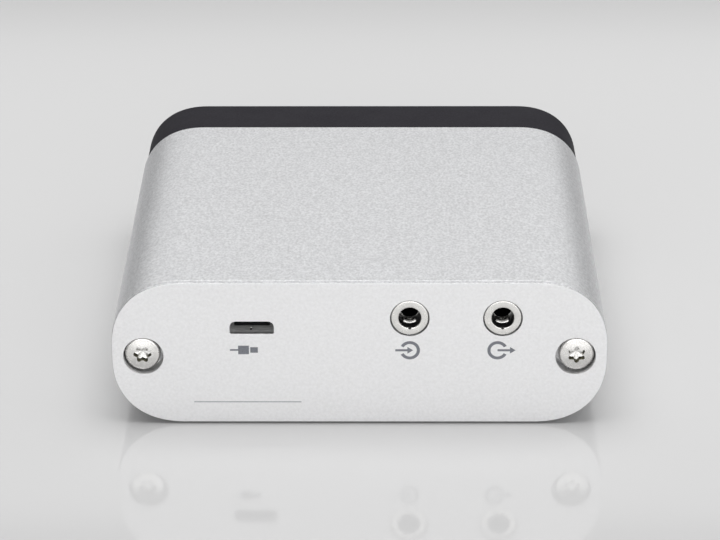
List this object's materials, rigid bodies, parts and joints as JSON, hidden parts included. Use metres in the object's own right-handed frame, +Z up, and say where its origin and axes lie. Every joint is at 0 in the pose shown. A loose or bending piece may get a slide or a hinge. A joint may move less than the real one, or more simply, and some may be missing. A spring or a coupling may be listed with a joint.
{
  "type": "desktop dac",
  "caption": "Desktop digital-to-analogue converter in a bead-blasted aluminium sleeve with a black front cap, volume knob, power button, headphone socket, rear jacks and micro-USB.",
  "frame": {"origin": "on the standing surface, under the middle of the bounding box", "axes": "+Z up; the front cap with the knob faces -Y and the rear panel with the sockets faces +Y"},
  "size_m": [0.078, 0.0834, 0.0247],
  "materials": {
    "blasted_aluminium": "bead-blasted and clear anodised, satin",
    "black_cap": "satin black, fine grain",
    "screw_steel": "polished stainless steel",
    "nickel": "nickel plated",
    "brass": "turned brass",
    "rubber": "matte rubber",
    "circuit_board": "green solder mask over glass-epoxy",
    "black_plastic": "moulded",
    "chip": "moulded epoxy",
    "relay_plastic": "moulded, pale",
    "can_aluminium": "bright drawn can",
    "red_film": "dipped, glossy",
    "clear_plastic": "clear moulded"
  },
  "bodies": {
    "root": {"board_header": "black_plastic", "dac_chip": "chip", "film_capacitor_left": "red_film", "film_capacitor_right": "red_film", "foot_front_left": "rubber", "foot_front_right": "rubber", "foot_rear_left": "rubber", "foot_rear_right": "rubber", "front_board": "circuit_board", "front_cap": "black_cap", "headphone_amplifier_chip": "chip", "headphone_jack_body": "black_plastic", "headphone_jack_bushing": "nickel", "headphone_jack_contact": "nickel", "input_jack_body": "black_plastic", "input_jack_bushing": "nickel", "input_jack_contact": "nickel", "light_pipe": "clear_plastic", "main_board": "circuit_board", "mute_relay": "relay_plastic", "oscillator_44k": "can_aluminium", "oscillator_48k": "can_aluminium", "output_capacitor_left": "can_aluminium", "output_capacitor_right": "can_aluminium", "output_jack_body": "black_plastic", "output_jack_bushing": "nickel", "output_jack_contact": "nickel", "potentiometer_nut": "nickel", "power_inductor": "chip", "power_switch": "black_plastic", "rear_panel": "blasted_aluminium", "sleeve": "blasted_aluminium", "status_led": "clear_plastic", "supply_capacitor_left": "can_aluminium", "supply_capacitor_right": "can_aluminium", "threaded_insert_left": "brass", "threaded_insert_right": "brass", "tie_screw_left": "screw_steel", "tie_screw_right": "screw_steel", "usb_receiver_chip": "chip", "usb_shell": "nickel", "usb_tongue": "black_plastic", "voltage_regulator": "chip", "volume_potentiometer": "screw_steel"},
    "volume": {"volume_knob": "blasted_aluminium", "volume_shaft": "screw_steel", "knob_set_screw": "screw_steel"},
    "power": {"power_button": "blasted_aluminium", "switch_plunger": "black_plastic"}
  },
  "joints": [
    {"name": "volume_turn", "type": "hinge", "parent": "root", "child": "volume", "pos_m": [0.02, -0.0376, 0.0125], "axis": [0, 1, 0], "range_deg": [-150, 150]},
    {"name": "power_press", "type": "slide", "parent": "root", "child": "power", "axis": [0, 1, 0], "range_m": [0, 0.0008], "stiffness_N_per_m": 2000, "springref_m": -0.0002}
  ]
}
